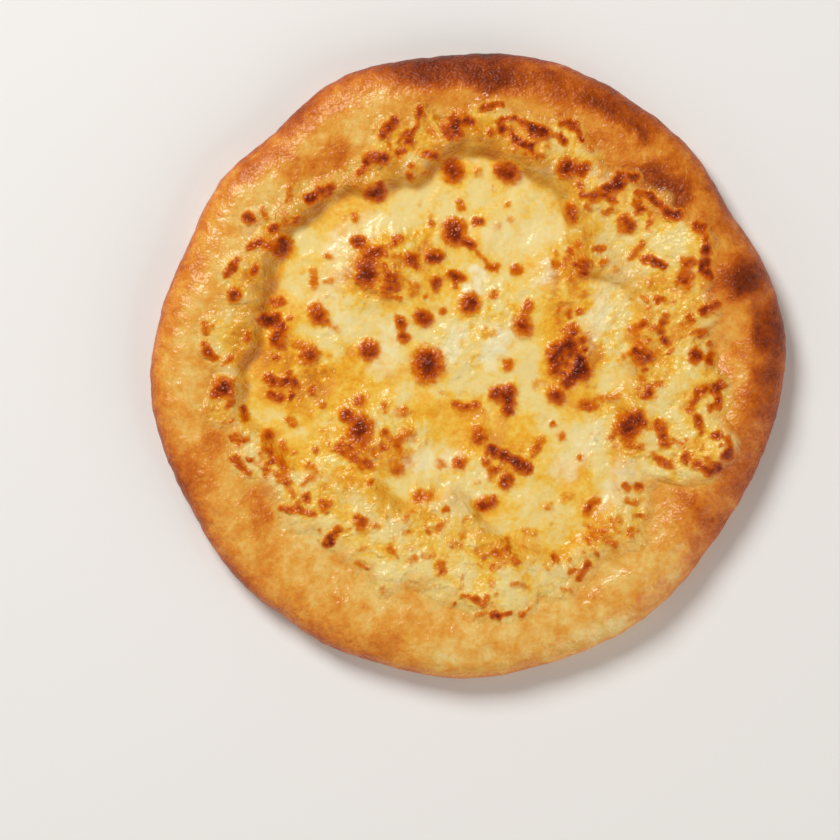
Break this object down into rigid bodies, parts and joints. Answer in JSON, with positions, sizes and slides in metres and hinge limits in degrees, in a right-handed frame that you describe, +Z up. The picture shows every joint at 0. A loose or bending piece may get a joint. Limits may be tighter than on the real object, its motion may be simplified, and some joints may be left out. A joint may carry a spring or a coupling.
{
  "type": "megrelian khachapuri",
  "caption": "Round cheese bread with a rolled, browned crust rim and a sunken middle under melted cheese scorched in spots.",
  "frame": {"origin": "on the flat foot, under the middle of the bread's outline", "axes": "+Z up out of the cheese, +X towards the darker, more deeply browned side of the rim"},
  "size_m": [0.2804, 0.276, 0.0263],
  "materials": {
    "baked_crust": "golden baked dough, semi-matt with a light egg-wash gloss, scorched brown on the right of the rim",
    "melted_cheese": "pale yellow melted cheese, oily gloss, with red-brown scorched blisters"
  },
  "bodies": {
    "root": {"bread": "baked_crust", "melted_cheese": "melted_cheese"}
  },
  "joints": []
}
